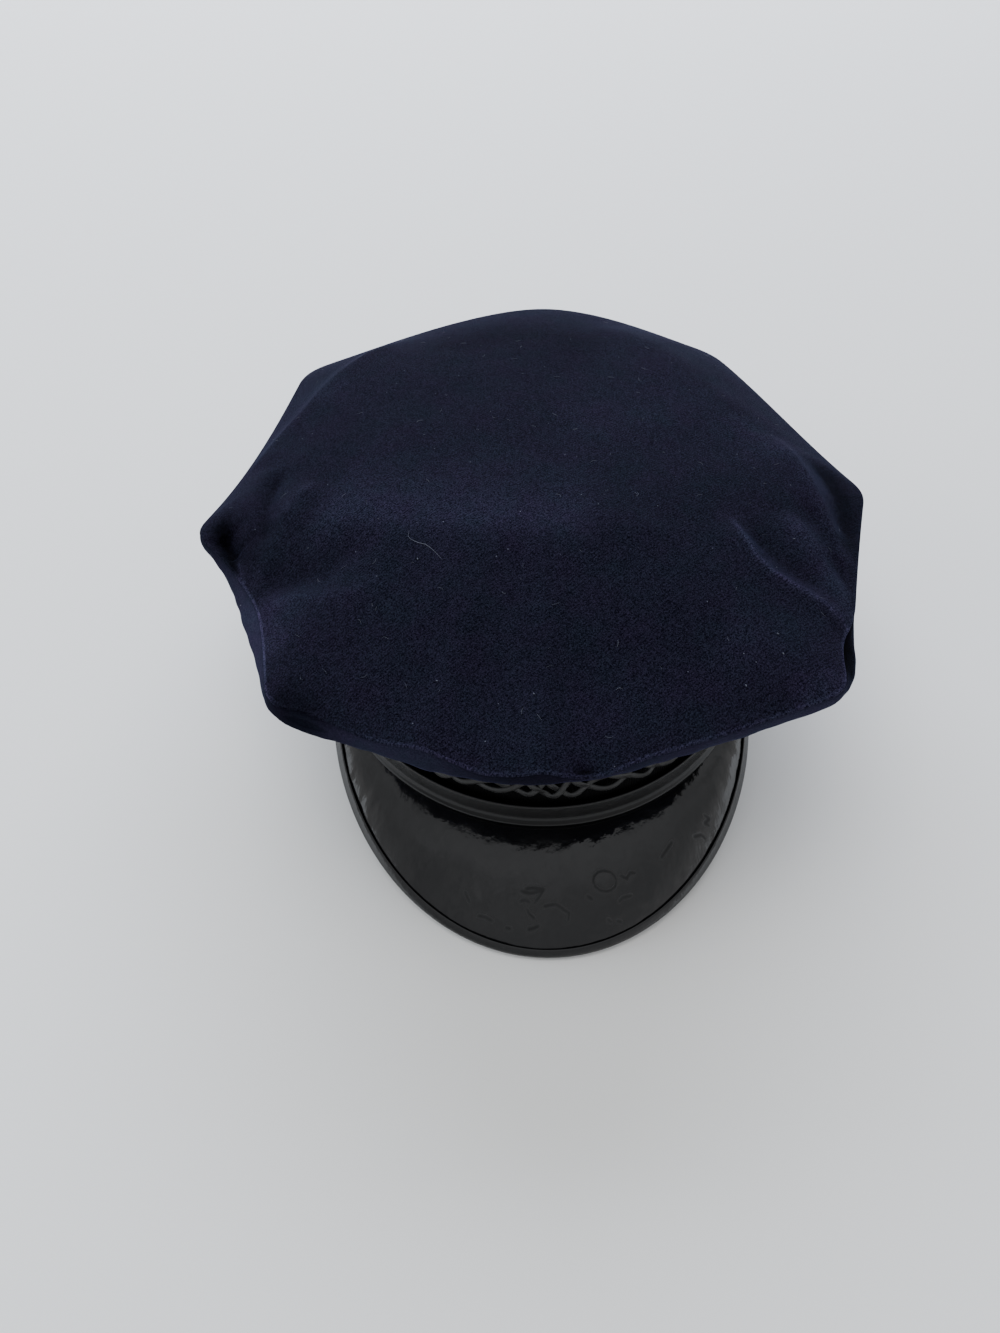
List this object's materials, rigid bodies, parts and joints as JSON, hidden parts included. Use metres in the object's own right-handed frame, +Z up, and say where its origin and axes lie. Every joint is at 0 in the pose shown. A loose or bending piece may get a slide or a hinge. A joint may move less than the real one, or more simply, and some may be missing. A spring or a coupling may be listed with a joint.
{
  "type": "peaked cap",
  "caption": "Soft cloth cap with a broad pointed crown, an upright band with an open plait and a front strap, and a glossy sloping peak with a bound edge.",
  "frame": {"origin": "on the table, under the middle of the resting cap", "axes": "+Z up, -Y towards the peak, +X to the right of someone who faces the peak"},
  "size_m": [0.2764, 0.3052, 0.1137],
  "materials": {
    "crown_cloth": "dark navy wool twill, matt with a faint bluish sheen",
    "band_cloth": "plain black ribbed cloth",
    "braid_cord": "black cord with a soft gloss",
    "strap_patent": "smooth black patent, lightly scuffed",
    "button": "plain black gloss",
    "peak_patent": "black patent with a faint orange-peel surface and small scuffs"
  },
  "bodies": {
    "root": {"crown_top": "crown_cloth", "crown_side": "crown_cloth", "band": "band_cloth", "braid": "braid_cord", "strap": "strap_patent", "strap_button_left": "button", "strap_button_right": "button", "peak": "peak_patent", "peak_binding": "peak_patent"}
  },
  "joints": []
}
